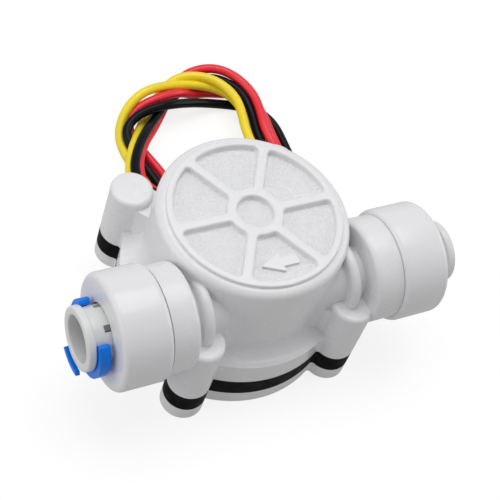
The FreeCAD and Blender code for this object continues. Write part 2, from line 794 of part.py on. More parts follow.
def axle():
    body = new_body("axle")
    sketch = new_sketch(body, lift="axle_bottom")
    add_circle(sketch, "0", "0", "axle_radius")
    feature(body, "Pad", sketch, "axle_top - axle_bottom")
    check_solid(body)


def bush(label, seat, sign):
    """A flanged bush: its stem is sunk into the seat, and its rim stands towards the wheel."""
    body = new_body(label)
    sketch = new_sketch(body, "XZ_Plane")
    sink = "%s - %sbush_sink" % (seat, sign)
    stand = "%s + %sbush_stand" % (seat, sign)
    add_box_outline(sketch, "axle_radius", sink, "bush_radius", stand)
    turned(body, "Revolution", sketch, "V_Axis")
    check_solid(body)


# push-fit ports: pieces are drawn along +X from the body's middle, and turned for the outlet

def place_on_port(body, side, turn=None):
    body.setExpression("Placement.Base.y", sized("-port_offset"))
    body.setExpression("Placement.Base.z", sized("port_height"))
    about_z = FreeCAD.Rotation(FreeCAD.Vector(0, 0, 1), 0 if side == "inlet" else 180)
    about_x = FreeCAD.Rotation(FreeCAD.Vector(1, 0, 0), measure(turn) if turn else 0)
    body.Placement = FreeCAD.Placement(body.Placement.Base, about_z.multiply(about_x))


def port_profile(label, side, corners, turn=None):
    """A turned piece of one port, from its outline in (distance from the middle, radius)."""
    body = new_body(label)
    sketch = new_sketch(body, "XZ_Plane")
    add_outline(sketch, corners)
    turned(body, "Revolution", sketch)
    check_solid(body)
    place_on_port(body, side, turn)
    return body


def port_cap(side):
    wall = "socket_radius + cap_gap"
    body = port_profile(side + "_cap", side, [
        ("cap_back", wall), ("cap_back", "cap_radius", "cap_back_round"), ("cap_face", "cap_radius", "cap_round"),
        ("cap_face", "cap_hole", "hole_round"), ("socket_end + cap_gap + cap_ramp", "cap_hole"),
        ("socket_end + cap_gap", "cavity_radius"), ("socket_end + cap_gap", wall)])


def port_collet(side):
    rim_back = "collet_face - collet_rim_length"
    turn = "collet_turn" if side == "inlet" else "-collet_turn"
    body = port_profile(side + "_collet", side, [
        ("collet_inner", "tube_bore"), ("collet_inner", "collet_head"), ("collet_head_end", "collet_head"),
        ("collet_head_end + collet_ramp", "collet_neck"), (rim_back, "collet_neck"),
        (rim_back, "collet_rim", "rim_round"), ("collet_face", "collet_rim", "rim_round"),
        ("collet_face", "tube_bore", "rim_round")], turn)
    volume = check_solid(body)

    # groove that holds the steel teeth
    sketch = new_sketch(body, "XZ_Plane")
    add_box_outline(sketch, "teeth_position", "tube_bore - 0.1", "teeth_position + teeth_thickness",
                    "tube_bore + teeth_depth")
    turned(body, "Groove", sketch)
    volume = check_solid(body, volume, smaller=True)

    # slots that part the fingers
    sketch = new_sketch(body, "YZ_Plane", lift="slot_front")
    add_box_outline(sketch, "-slot_width / 2", "tube_bore / 2", "slot_width / 2", "collet_head + 1")
    slot = feature(body, "Pocket", sketch, "slot_front - collet_inner + 1")
    volume = check_solid(body, volume, smaller=True)
    around(body, slot, "X_Axis", "slot_count")
    check_solid(body, volume, smaller=True)
    place_on_port(body, side, turn)


def collet_teeth(side):
    """The steel tooth ring, slit into one blade for each finger of the collet."""
    turn = "collet_turn" if side == "inlet" else "-collet_turn"
    start = "teeth_position + fit_gap / 2"
    end = "teeth_position + teeth_thickness - fit_gap / 2"
    body = port_profile(side + "_collet_teeth", side, [
        (start, "tube_bore + fit_gap"), (start, "tube_bore + teeth_depth - fit_gap"),
        (end, "tube_bore + teeth_depth - fit_gap"), (end, "tube_bore + fit_gap")], turn)

    # slits, one behind each of the collet's slots, that leave the ring whole at its outer edge
    volume = body.Shape.Volume
    sketch = new_sketch(body, "YZ_Plane", lift=end)
    add_box_outline(sketch, "-slot_width / 2", "tube_bore / 2", "slot_width / 2",
                    "tube_bore + teeth_depth - fit_gap - teeth_thickness")
    slit = feature(body, "Pocket", sketch, "teeth_thickness")
    volume = check_solid(body, volume, smaller=True)
    around(body, slit, "X_Axis", "slot_count")
    check_solid(body, volume, smaller=True)


def port_seal(side):
    ring = doc.addObject("Part::Torus", side + "_seal")
    ring.Label = side + "_seal"
    ring.setExpression("Radius1", sized("seal_bore - seal_section - 0.02"))
    ring.setExpression("Radius2", sized("seal_section"))
    sign = "" if side == "inlet" else "-"
    ring.Placement = FreeCAD.Placement(FreeCAD.Vector(), FreeCAD.Rotation(FreeCAD.Vector(0, 1, 0), 90))
    ring.setExpression("Placement.Base.x", sized(sign + "(seal_start + spacer_start) / 2"))
    ring.setExpression("Placement.Base.y", sized("-port_offset"))
    ring.setExpression("Placement.Base.z", sized("port_height"))
    finished.append(ring)


def port_spacer(side):
    start = "spacer_start"
    end = "spacer_start + spacer_length"
    outer = "cavity_radius - fit_gap"
    port_profile(side + "_spacer", side, [
        (start, "tube_bore + fit_gap"), (start, outer), (end, outer), (end, "tube_bore + fit_gap")])


def inlet_jet():
    """The nozzle that aims the water at the wheel; it narrows from its mouth to its bore."""
    start = "tube_stop - jet_length + fit_gap"
    outer = "jet_radius - fit_gap / 2"
    port_profile("inlet_jet", "inlet", [
        (start, "jet_bore"), (start, outer), ("tube_stop - fit_gap", outer), ("tube_stop - fit_gap", "jet_mouth"),
        ("tube_stop - jet_length / 2", "jet_bore")])


def lock_clip():
    """A C-shaped clip behind the outlet collet's rim, with a finger strip on a narrow web below."""
    body = new_body("lock_clip")
    back = "collet_face - collet_rim_length - fit_gap - clip_width"
    front = "(collet_face - collet_rim_length - fit_gap)"
    sketch = new_sketch(body, "YZ_Plane", lift=back)
    add_circle(sketch, "0", "-clip_drop", "clip_outer")
    feature(body, "Pad", sketch, "clip_width")
    volume = check_solid(body)

    # finger tab: a curved wall below that reaches as far as the collet's rim
    sketch = new_sketch(body, "YZ_Plane", lift=back)
    add_circle(sketch, "0", "-clip_drop", "clip_outer")
    add_circle(sketch, "0", "-clip_drop", "clip_outer - tab_thickness")
    feature(body, "Pad", sketch, "tab_reach")
    volume = check_solid(body)
    sketch = new_sketch(body, "YZ_Plane", lift=front)
    far = "(clip_outer * 2)"
    low_y = "-clip_drop - %s * cos(tab_half_angle * 1 deg)" % far
    side_y = "%s * sin(tab_half_angle * 1 deg)" % far
    add_outline(sketch, [
        ("0", "-clip_drop"), (side_y, low_y), (far, low_y), (far, far), ("-" + far, far), ("-" + far, low_y),
        ("-%s * sin(tab_half_angle * 1 deg)" % far, low_y)])
    feature(body, "Pocket", sketch, "tab_reach", reverse=True)
    volume = check_solid(body, volume, smaller=True)

    # the tab's outer strip is free of the clip beside a narrow web
    for side in ("", "-"):
        sketch = new_sketch(body, "YZ_Plane", lift=front)
        web_x = "%s%s * sin(web_half_angle * 1 deg)" % (side, far)
        web_y = "-clip_drop - %s * cos(web_half_angle * 1 deg)" % far
        add_outline(sketch, [("0", "-clip_drop"), (web_x, web_y), (side + far, web_y), (side + far, "-clip_drop")])
        feature(body, "Pocket", sketch, "tab_reach - clip_width - strip_width", reverse=True)
        volume = check_solid(body, volume, smaller=True)

    # bore round the collet's neck, and the mouth between the arms
    sketch = new_sketch(body, "YZ_Plane", lift=back + " - 1")
    add_circle(sketch, "0", "0", "clip_inner")
    feature(body, "Pocket", sketch, "clip_width + 1.5", reverse=True)
    volume = check_solid(body, volume, smaller=True)
    sketch = new_sketch(body, "YZ_Plane", lift=back + " - 1")
    mouth_x = "%s * sin(clip_mouth * 1 deg)" % far
    mouth_y = "%s * cos(clip_mouth * 1 deg)" % far
    add_outline(sketch, [("0", "0"), (mouth_x, mouth_y), ("-" + mouth_x, mouth_y)])
    feature(body, "Pocket", sketch, "clip_width + 2", reverse=True)
    check_solid(body, volume, smaller=True)
    soften(body, "arm_round", lambda e: isinstance(e.Curve, (Part.Line, Part.LineSegment))
           and abs(e.Length - measure("clip_width")) < 0.01 and e.BoundBox.Center.z > 0)
    soften(body, "clip_edge_round", lambda e: ring_edge(e, 0, "clip_outer", back))
    place_on_port(body, "outlet", "-clip_turn")


# pulse circuit in the cover's well

def circuit_board():
    body = new_body("circuit_board")
    sketch = new_sketch(body, lift="board_depth - board_thickness")
    add_circle(sketch, "0", "0", "well_radius - board_gap")
    feature(body, "Pad", sketch, "board_thickness")
    check_solid(body)


def hall_chip():
    chip = doc.addObject("Part::Box", "hall_chip")
    chip.Label = "hall_chip"
    chip.setExpression("Length", sized("chip_length"))
    chip.setExpression("Width", sized("chip_width"))
    chip.setExpression("Height", sized("chip_height"))
    chip.setExpression("Placement.Base.x", sized("-chip_length / 2"))
    chip.setExpression("Placement.Base.y", sized("magnet_circle - chip_width / 2 - 1"))
    chip.setExpression("Placement.Base.z", sized("board_depth"))
    finished.append(chip)


def potting():
    body = new_body("potting")
    sketch = new_sketch(body, lift="potting_recess")
    add_circle(sketch, "0", "0", "well_radius")
    feature(body, "Pad", sketch, "board_depth - board_thickness - potting_recess")
    check_solid(body)


# wires, loose coil and plug: the wires leave the cover's channel, lie in loose turns behind
# the body and end in a three-way plug

WIRES = (("yellow_wire", -1), ("black_wire", 0), ("red_wire", 1))

# where each tail leaves the coil, and the bends it takes round the flange to the plug
TAIL_STARTS = {"yellow_wire": 18.1, "black_wire": 19.7, "red_wire": 21.2}
TAIL_BENDS = {
    "yellow_wire": ((18.4, 16.0, 2.6), (19.0, 11.0, 2.6)),
    "black_wire": ((20.0, 16.4, 2.6), (21.3, 11.0, 2.6)),
    "red_wire": ((21.4, 19.8, 2.8), (21.8, 15.4, 2.6), (23.3, 11.0, 2.6)),
}
TAIL_START_HEIGHT = 2.9
PLUG_BEND = 7.5


def rounded_path(points):
    """Straight runs joined by tangent arcs, each as large as its two runs allow."""
    edges = []
    start = points[0]
    for before, corner, after in zip(points, points[1:], points[2:]):
        run_in = (before - corner)
        run_out = (after - corner)
        turn = math.pi - run_in.getAngle(run_out)
        cut = 0.45 * min(run_in.Length, run_out.Length)
        radius = cut / math.tan(turn / 2)
        entry = corner + run_in.normalize() * cut
        leave = corner + run_out.normalize() * cut
        toward = ((entry + leave) * 0.5 - corner).normalize()
        middle = corner + toward * (radius / math.cos(turn / 2) - radius)
        edges.append(Part.LineSegment(start, entry).toShape())
        edges.append(Part.Arc(entry, middle, leave).toShape())
        print("arc radius %.1f" % radius)
        start = leave
    edges.append(Part.LineSegment(start, points[-1]).toShape())
    return Part.Wire(edges)


def wire_tube(label, points):
    path = rounded_path(points)
    radius = measure("wire_diameter") / 2
    direction = (points[1] - points[0]).normalize()
    section = Part.Wire([Part.makeCircle(radius, points[0], direction)])
    tube = path.makePipeShell([section], True, False)
    whole = math.pi * radius ** 2 * path.Length
    if abs(tube.Volume - whole) > 0.01 * whole:
        raise RuntimeError("%s: tube volume %.2f, section times length %.2f" % (label, tube.Volume, whole))
    piece = doc.addObject("Part::Feature", label)
    piece.Label = label
    piece.Shape = tube
    finished.append(piece)


def wires():
    height = measure("wire_height")
    pitch = measure("wire_pitch")
    centre = FreeCAD.Vector(measure("coil_across"), measure("coil_behind"), 0)
    reach = measure("coil_outer")
    seat = measure("wire_seat")
    for name, place in WIRES:
        x = place * pitch
        into = centre.y - math.sqrt(reach ** 2 - (x - centre.x) ** 2) + seat
        start = FreeCAD.Vector(x, measure("well_radius - wire_seat"), height)
        wire_tube(name + "_lead", [start, FreeCAD.Vector(x, into, height)])
        # from the coil round the flange to the plug, with a point for each bend
        across = measure("plug_across") + place * measure("pin_pitch")
        tail_height = measure("floor_gap + plug_height / 2")
        out = TAIL_STARTS[name]
        leave = centre.y - math.sqrt(reach ** 2 - (out - centre.x) ** 2) + seat
        bends = [FreeCAD.Vector(*bend) for bend in TAIL_BENDS[name]]
        wire_tube(name + "_tail", [
            FreeCAD.Vector(out, leave, TAIL_START_HEIGHT), *bends,
            FreeCAD.Vector(across, PLUG_BEND, tail_height),
            FreeCAD.Vector(across, measure("plug_rear - wire_seat"), tail_height)])


def wire_coil():
    """The outer shape of the loose turns."""
    body = new_body("wire_coil")
    sketch = new_sketch(body, lift="floor_gap")
    add_circle(sketch, "coil_across", "coil_behind", "coil_outer")
    add_circle(sketch, "coil_across", "coil_behind", "coil_inner")
    feature(body, "Pad", sketch, "coil_height")
    check_solid(body)
    soften(body, "coil_height * 0.3", lambda e: isinstance(e.Curve, Part.Circle))


def plug_housing():
    body = new_body("plug_housing")
    low_x = "plug_across - plug_width / 2"
    high_x = "plug_across + plug_width / 2"
    sketch = new_sketch(body, lift="floor_gap")
    add_box_outline(sketch, low_x, "plug_rear - plug_length", high_x, "plug_rear")
    feature(body, "Pad", sketch, "plug_height")
    volume = check_solid(body)
    soften(body, "edge_round * 0.6", lambda e: upright(e, "floor_gap", "floor_gap + plug_height"))

    # contact cavities, open at the front
    sketch = new_sketch(body, "XZ_Plane", lift="-plug_rear + plug_length", across="plug_across",
                        up="floor_gap + plug_height / 2")
    for place in ("-pin_pitch", "0", "pin_pitch"):
        x0 = "-pin_cavity" if place == "0" else place + " - pin_cavity"
        x1 = "pin_cavity" if place == "0" else place + " + pin_cavity"
        add_box_outline(sketch, x0, "-pin_cavity", x1, "pin_cavity")
    feature(body, "Pocket", sketch, "cavity_depth")
    check_solid(body)

    # two keying ribs on top
    sketch = new_sketch(body, lift="floor_gap + plug_height - 0.01")
    for side in ("-", ""):
        low, high = sorted(("plug_across %s pin_pitch" % (side or "+"),
                            "plug_across %s pin_pitch %s latch_rib" % (side or "+", side or "+")), key=measure)
        add_box_outline(sketch, low, "plug_rear - plug_length * 0.6", high, "plug_rear")
    feature(body, "Pad", sketch, "latch_height")
    check_solid(body)


def plug_contacts():
    """Three tinned receptacles, each a thin-walled box in its cavity."""
    contacts = []
    for i, place in enumerate(("-pin_pitch", "0", "pin_pitch")):
        outer = doc.addObject("Part::Box", "ContactShell")
        inner = doc.addObject("Part::Box", "ContactHollow")
        for box, wall in ((outer, "0.15"), (inner, "0.4")):
            box.setExpression("Length", sized("2 * (pin_cavity - %s)" % wall))
            box.setExpression("Height", sized("2 * (pin_cavity - %s)" % wall))
            box.setExpression("Width", sized("cavity_depth - 0.6"))
            box.setExpression("Placement.Base.x", sized("plug_across + %s - pin_cavity + %s" % (place, wall)))
            box.setExpression("Placement.Base.z", sized("floor_gap + plug_height / 2 - pin_cavity + " + wall))
        outer.setExpression("Placement.Base.y", sized("plug_rear - plug_length + 0.6"))
        inner.setExpression("Placement.Base.y", sized("plug_rear - plug_length - 0.2"))
        shell = doc.addObject("Part::Cut", "Contact")
        shell.Base = outer
        shell.Tool = inner
        contacts.append(shell)
    group = doc.addObject("Part::Compound", "plug_contacts")
    group.Label = "plug_contacts"
    group.Links = contacts
    finished.append(group)


def main():
    housing()
    gasket()
    bottom_cover()
    cover_screws()
    paddle_wheel()
    wheel_magnets()
    axle()
    bush("upper_bush", "chamber_roof", "-")
    bush("lower_bush", "plug_top", "")
    for side in ("inlet", "outlet"):
        port_cap(side)
        port_collet(side)
        collet_teeth(side)
        port_seal(side)
        port_spacer(side)
    inlet_jet()
    lock_clip()
    circuit_board()
    hall_chip()
    potting()
    wires()
    wire_coil()
    plug_housing()
    plug_contacts()
    doc.recompute()
    failed = [o.Name for o in doc.Objects if "Invalid" in o.State or "Error" in o.State]
    for piece in finished:
        if piece.Shape.isNull() or not piece.Shape.isValid():
            failed.append(piece.Label)
    if failed:
        raise RuntimeError("these objects failed: " + ", ".join(failed))
    os.makedirs("parts", exist_ok=True)
    for piece in finished:
        piece.Shape.exportStep(os.path.join("parts", piece.Label + ".step"))
        print(piece.Label, len(piece.Shape.Solids), round(piece.Shape.Volume, 2))


main()
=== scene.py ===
import json
import math

import bmesh
import bpy
from mathutils import Matrix, Vector


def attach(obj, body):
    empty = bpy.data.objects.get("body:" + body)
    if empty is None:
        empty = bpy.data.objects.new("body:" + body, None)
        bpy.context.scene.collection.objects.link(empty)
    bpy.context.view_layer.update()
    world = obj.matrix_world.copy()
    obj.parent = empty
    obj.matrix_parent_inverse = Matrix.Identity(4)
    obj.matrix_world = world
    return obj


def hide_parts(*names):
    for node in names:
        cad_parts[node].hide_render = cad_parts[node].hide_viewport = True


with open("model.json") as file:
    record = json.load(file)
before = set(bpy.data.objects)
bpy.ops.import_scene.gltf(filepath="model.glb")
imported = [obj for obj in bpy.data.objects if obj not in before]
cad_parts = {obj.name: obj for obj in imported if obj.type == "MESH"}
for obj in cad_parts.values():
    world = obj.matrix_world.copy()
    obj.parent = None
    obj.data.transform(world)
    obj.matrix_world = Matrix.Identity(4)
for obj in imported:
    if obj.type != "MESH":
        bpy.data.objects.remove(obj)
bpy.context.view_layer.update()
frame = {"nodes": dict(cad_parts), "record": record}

bl_info = {
    "name": "Flow sensor",
    "version": (1, 0, 0),
    "blender": (4, 5, 0),
    "location": "3D View > Sidebar > Flow sensor",
    "description": "Dresses the packed flow sensor: moulded plastics, rubber, metal parts, wires and stage",
    "category": "Object",
}

MM = 0.001
SMOOTH_ANGLE = math.radians(32)

# the housing's sunk sectors reach this far from the middle, and their floor lies between these heights
SECTOR_RADIUS = 11.5 * MM
SECTOR_TOP = 22.85 * MM
SECTOR_BOTTOM = 22.6 * MM


# what a user would change

def linear_colour(text):
    """The linear RGBA of an sRGB hex colour."""
    parts = [int(text[i:i + 2], 16) / 255 for i in (1, 3, 5)]
    return [c / 12.92 if c <= 0.04045 else ((c + 0.055) / 1.055) ** 2.4 for c in parts] + [1.0]


def colour_setting(label, words, text):
    return bpy.props.FloatVectorProperty(
        name=label, description=words, subtype="COLOR", size=4, min=0, max=1, default=linear_colour(text))


def length_setting(label, words, millimetres):
    return bpy.props.FloatProperty(name=label, description=words, unit="LENGTH", default=millimetres * MM)


def angle_setting(label, words, degrees):
    return bpy.props.FloatProperty(
        name=label, description=words, subtype="ANGLE", default=math.radians(degrees))


class FlowSensorFinish(bpy.types.PropertyGroup):
    body_white: colour_setting("Body white", "Moulded acetal of the body, cover and caps", "#E9E9EB")
    collet_white: colour_setting("Collet white", "Moulded acetal of the collets", "#E4E5E4")
    clip_blue: colour_setting("Clip blue", "Moulded plastic of the lock clip", "#007EF0")
    rubber_black: colour_setting("Rubber black", "Gasket and seals", "#040405")
    wheel_black: colour_setting("Wheel black", "Moulded plastic of the paddle wheel", "#232528")
    yellow: colour_setting("Yellow wire", "Insulation of the pulse wire", "#FBE01C")
    black: colour_setting("Black wire", "Insulation of the ground wire", "#070C14")
    red: colour_setting("Red wire", "Insulation of the supply wire", "#F01C34")
    steel: colour_setting("Steel", "Screws, axle and tooth rings", "#C6C8CB")
    tin: colour_setting("Tin", "Plating of the contacts", "#D4D3CE")
    nylon: colour_setting("Nylon", "Natural nylon of the plug", "#E8E4D6")
    board_green: colour_setting("Board green", "Solder mask of the circuit board", "#1D6B3A")


class FlowSensorSizes(bpy.types.PropertyGroup):
    wire_diameter: length_setting("Wire diameter", "Outer size of each wire", 1.5)
    thread_pitch: length_setting("Thread pitch", "Distance between a screw's threads", 0.8)


class FlowSensorView(bpy.types.PropertyGroup):
    azimuth: angle_setting("Azimuth", "Camera's turn about the vertical", -41.87)
    elevation: angle_setting("Elevation", "Camera's height above the horizon", 51.83)
    roll: angle_setting("Roll", "Camera's turn about its own axis", 22.17)
    distance: length_setting("Distance", "From the camera to the origin's plane", 214.06)
    shift_right: length_setting("Shift right", "How far the origin lies right of the view's middle", -4.69)
    shift_up: length_setting("Shift up", "How far the origin lies above the view's middle", -8.15)
    lens: bpy.props.FloatProperty(name="Lens", description="Focal length", unit="CAMERA", default=103.67)


GROUPS = {
    "flow_sensor_finish": FlowSensorFinish,
    "flow_sensor_sizes": FlowSensorSizes,
    "flow_sensor_view": FlowSensorView,
}


# materials

def add_node(tree, kind, inputs=None, **settings):
    """Adds a node, sets its settings, and sets or links each named or numbered input."""
    node = tree.nodes.new(kind)
    for key, value in settings.items():
        setattr(node, key, value)
    for key, value in (inputs or {}).items():
        socket = node.inputs[key]
        if isinstance(value, bpy.types.NodeSocket):
            tree.links.new(value, socket)
        else:
            socket.default_value = value
    return node


def new_material(name, **shader_inputs):
    """A material with one principled shader whose constants sit on its own sockets."""
    material = bpy.data.materials.new(name)
    material.use_nodes = True
    tree = material.node_tree
    tree.nodes.clear()
    constants = {key.replace("_", " "): value for key, value in shader_inputs.items()}
    shader = add_node(tree, "ShaderNodeBsdfPrincipled", constants)
    add_node(tree, "ShaderNodeOutputMaterial", {"Surface": shader.outputs["BSDF"]})
    return material, tree, shader


def object_noise(tree, size, detail=2.0, roughness=0.5):
    """Noise in object coordinates, with features about as large as size, in metres."""
    place = add_node(tree, "ShaderNodeTexCoord")
    noise = add_node(tree, "ShaderNodeTexNoise", {
        "Vector": place.outputs["Object"], "Scale": 1 / size, "Detail": detail, "Roughness": roughness})
    return noise.outputs["Fac"]


def darkened(colour, amount):
    return [c * (1 - amount) for c in colour[:3]] + [1.0]


def vary_colour(tree, shader, colour, size, amount):
    """Mottles the colour in patches of this size, darker by at most the amount."""
    mix = add_node(tree, "ShaderNodeMix", {
        0: object_noise(tree, size), 6: colour, 7: darkened(colour, amount)}, data_type="RGBA")
    tree.links.new(mix.outputs[2], shader.inputs["Base Color"])


def vary_roughness(tree, shader, size, low, high):
    """Lets the roughness waver between low and high over patches of this size."""
    spread = add_node(tree, "ShaderNodeMapRange", {
        "Value": object_noise(tree, size), "From Min": 0.3, "From Max": 0.7, "To Min": low, "To Max": high})
    tree.links.new(spread.outputs["Result"], shader.inputs["Roughness"])


def add_bump(tree, shader, height, depth):
    bump = add_node(tree, "ShaderNodeBump", {"Height": height, "Distance": depth})
    tree.links.new(bump.outputs["Normal"], shader.inputs["Normal"])


def moulded_plastic(name, colour, low=0.28, high=0.40, specular=0.5):
    """Injection moulded acetal or nylon: bright and waxy, with a soft gloss that wavers slowly, as
    the mould was polished."""
    material, tree, shader = new_material(name, IOR=1.48, Specular_IOR_Level=specular)
    vary_colour(tree, shader, colour, size=7 * MM, amount=0.02)
    vary_roughness(tree, shader, size=3.5 * MM, low=low, high=high)
    return material


def sector_mask(tree):
    """One on the floors of the sunk sectors and hub, nothing on the rest of the housing."""
    place = add_node(tree, "ShaderNodeTexCoord")
    parts = add_node(tree, "ShaderNodeSeparateXYZ", {"Vector": place.outputs["Object"]})
    flat = add_node(tree, "ShaderNodeCombineXYZ", {"X": parts.outputs["X"], "Y": parts.outputs["Y"]})
    reach = add_node(tree, "ShaderNodeVectorMath", {0: flat.outputs[0]}, operation="LENGTH")
    mask = 1.0
    for value, limit, test in (
            (parts.outputs["Z"], SECTOR_BOTTOM, "GREATER_THAN"),
            (parts.outputs["Z"], SECTOR_TOP, "LESS_THAN"),
            (reach.outputs["Value"], SECTOR_RADIUS, "LESS_THAN")):
        passed = add_node(tree, "ShaderNodeMath", {0: value, 1: limit}, operation=test)
        both = add_node(tree, "ShaderNodeMath", {0: mask, 1: passed.outputs[0]}, operation="MULTIPLY")
        mask = both.outputs[0]
    return mask


def grained_body_plastic(name, colour):
    """Moulded acetal whose sunk sectors have the spark eroded grain of the mould: a fine pebble,
    drawn at 0.26 mm, coarser than the real one, so that it shows."""
    material, tree, shader = new_material(name, IOR=1.48)
    vary_colour(tree, shader, colour, size=7 * MM, amount=0.02)
    vary_roughness(tree, shader, size=3.5 * MM, low=0.20, high=0.30)
    pebble = object_noise(tree, 0.26 * MM, detail=1.0)
    grain = add_node(tree, "ShaderNodeMath", {0: sector_mask(tree), 1: pebble}, operation="MULTIPLY")
    add_bump(tree, shader, grain.outputs[0], depth=0.20 * MM)
    return material


def matt_moulding(name, colour):
    """Compression moulded rubber or epoxy: deep black with a dry, faintly grainy skin."""
    material, tree, shader = new_material(name, IOR=1.52, Specular_IOR_Level=0.08)
    vary_colour(tree, shader, colour, size=3 * MM, amount=0.25)
    vary_roughness(tree, shader, size=1.2 * MM, low=0.50, high=0.68)
    add_bump(tree, shader, object_noise(tree, 0.4 * MM, detail=4.0), depth=0.015 * MM)
    return material


def wire_insulation(name, colour, low=0.30, high=0.42, specular=0.5):
    """Extruded PVC: saturated and satin, with a slight unevenness that softens its highlight."""
    material, tree, shader = new_material(name, IOR=1.53, Specular_IOR_Level=specular)
    vary_colour(tree, shader, colour, size=5 * MM, amount=0.10)
    vary_roughness(tree, shader, size=1.5 * MM, low=low, high=high)
    add_bump(tree, shader, object_noise(tree, 0.7 * MM, detail=3.0), depth=0.012 * MM)
    return material


def bare_metal(name, colour, low, high, grain):
    """Worked metal: its gloss breaks up over tool marks, drawn coarser than real so that they show."""
    material, tree, shader = new_material(name, Metallic=1.0)
    vary_colour(tree, shader, colour, size=1.5 * MM, amount=0.12)
    vary_roughness(tree, shader, size=grain, low=low, high=high)
    add_bump(tree, shader, object_noise(tree, grain, detail=4.0), depth=0.004 * MM)
    return material


def cast_resin(name, colour):
    """Poured epoxy: glossy, nearly flat, with a slow ripple from the pour."""
    material, tree, shader = new_material(name, IOR=1.55)
    vary_colour(tree, shader, colour, size=4 * MM, amount=0.3)
    vary_roughness(tree, shader, size=3 * MM, low=0.10, high=0.22)
    add_bump(tree, shader, object_noise(tree, 5 * MM, detail=1.0), depth=0.12 * MM)
    return material


def woven_board(name, colour):
    """Glass laminate under solder mask: the weave, 0.6 mm a thread, shows through as a faint check."""
    material, tree, shader = new_material(name, IOR=1.5)
    vary_roughness(tree, shader, size=2 * MM, low=0.30, high=0.42)
    place = add_node(tree, "ShaderNodeTexCoord")
    check = add_node(tree, "ShaderNodeTexChecker", {
        "Vector": place.outputs["Object"], "Scale": 1 / (0.6 * MM), "Color1": colour,
        "Color2": darkened(colour, 0.15)})
    tree.links.new(check.outputs["Color"], shader.inputs["Base Color"])
    add_bump(tree, shader, check.outputs["Fac"], depth=0.01 * MM)
    return material


MATERIALS = {}


def make_materials(finish):
    """Every material by the record's slot name."""
    white = tuple(finish.body_white)
    collet = tuple(finish.collet_white)
    clip = tuple(finish.clip_blue)
    rubber = tuple(finish.rubber_black)
    wheel = tuple(finish.wheel_black)
    steel = tuple(finish.steel)
    tin = tuple(finish.tin)
    nylon = tuple(finish.nylon)
    board = tuple(finish.board_green)
    MATERIALS.update({
        "white_housing": grained_body_plastic("moulded_acetal_body", white),
        "white_cover": moulded_plastic("moulded_acetal_cover", white),
        "white_cap": moulded_plastic("moulded_acetal_cap", white, low=0.16, high=0.24),
        "white_collet": moulded_plastic("moulded_acetal_collet", collet, low=0.26, high=0.36),
        "black_rubber": matt_moulding("moulded_rubber_gasket", rubber),
        "seal_rubber": matt_moulding("moulded_rubber_seal", rubber),
        "blue_clip": moulded_plastic("moulded_acetal_clip", clip, low=0.20, high=0.30, specular=0.25),
        "wheel_plastic": moulded_plastic("moulded_acetal_wheel", wheel),
        "magnet": bare_metal("nickel_plated_magnet", steel, low=0.14, high=0.26, grain=0.6 * MM),
        "steel_axle": bare_metal("ground_stainless_axle", steel, low=0.18, high=0.30, grain=0.2 * MM),
        "steel_teeth": bare_metal("stamped_stainless_teeth", steel, low=0.22, high=0.36, grain=0.3 * MM),
        "zinc_screw": bare_metal("zinc_plated_screw", steel, low=0.26, high=0.42, grain=0.25 * MM),
        "bush_plastic": moulded_plastic("filled_plastic_bush", nylon, low=0.45, high=0.6),
        "green_board": woven_board("solder_masked_board", board),
        "chip_plastic": matt_moulding("moulded_epoxy_chip", wheel),
        "potting_resin": cast_resin("cast_epoxy_potting", rubber),
        "red_wire": wire_insulation("extruded_pvc_red", tuple(finish.red)),
        "black_wire": wire_insulation(
            "extruded_pvc_black", tuple(finish.black), low=0.12, high=0.20, specular=0.12),
        "yellow_wire": wire_insulation("extruded_pvc_yellow", tuple(finish.yellow)),
        "white_plug": moulded_plastic("moulded_nylon_plug", nylon, low=0.38, high=0.5),
        "tinned_contact": bare_metal("tinned_bronze_contact", tin, low=0.2, high=0.34, grain=0.3 * MM),
    })


# shared ways of making a piece

SLOT_OF = {part["node"]: part["material_slot"] for part in frame["record"]["subparts"]}
BODY_OF = {node: body for body, nodes in frame["record"]["behaviour"]["bodies"].items() for node in nodes}


def link(name, data):
    """A new object of the scene with this mesh, curve, lamp or camera."""
    piece = bpy.data.objects.new(name, data)
    bpy.context.scene.collection.objects.link(piece)
    return piece


def settle(piece, node, *more_nodes):
    """The piece rides on the node's body and stands for it and for the other nodes."""
    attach(piece, BODY_OF[node])
    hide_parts(node, *more_nodes)
    return piece


def smooth_copy(node, name):
    """The node's mesh with its triangles joined, shaded smooth across all but its sharp edges."""
    mesh = frame["nodes"][node].data.copy()
    mesh.name = name
    work = bmesh.new()
    work.from_mesh(mesh)
    bmesh.ops.remove_doubles(work, verts=work.verts, dist=0.0005 * MM)
    for face in work.faces:
        face.smooth = True
    for edge in work.edges:
        edge.smooth = len(edge.link_faces) == 2 and edge.calc_face_angle(0) < SMOOTH_ANGLE
    work.to_mesh(mesh)
    work.free()
    mesh.materials.clear()
    mesh.materials.append(MATERIALS[SLOT_OF[node]])
    return link(name, mesh)


def dress(node):
    return settle(smooth_copy(node, node + "_skin"), node)


# housing and cover

class FLOWSENSOR_OT_body(bpy.types.Operator):
    """Moulded body, gasket and bottom cover"""
    bl_idname = "flow_sensor.body"
    bl_label = "Body, gasket and cover"

    def execute(self, context):
        for node in ("housing", "gasket", "bottom_cover"):
            dress(node)
        return {"FINISHED"}


# screws: one is modelled, then repeated by a node tree

# half the screw's section as (radius, height) in millimetres, from the head's face up to the point
SCREW_HEAD = [(0.0, 0.05), (1.75, 0.05), (2.0, 0.2), (2.15, 0.55), (2.15, 1.3), (0.98, 1.3)]
SCREW_POINT = [(0.95, 10.9), (0.55, 12.15), (0.0, 12.2)]
THREAD_START = 2.0 * MM
THREAD_END = 10.9 * MM
THREAD_CORE = 0.95 * MM
THREAD_CREST = 1.14 * MM
SCREW_SEGMENTS = 40

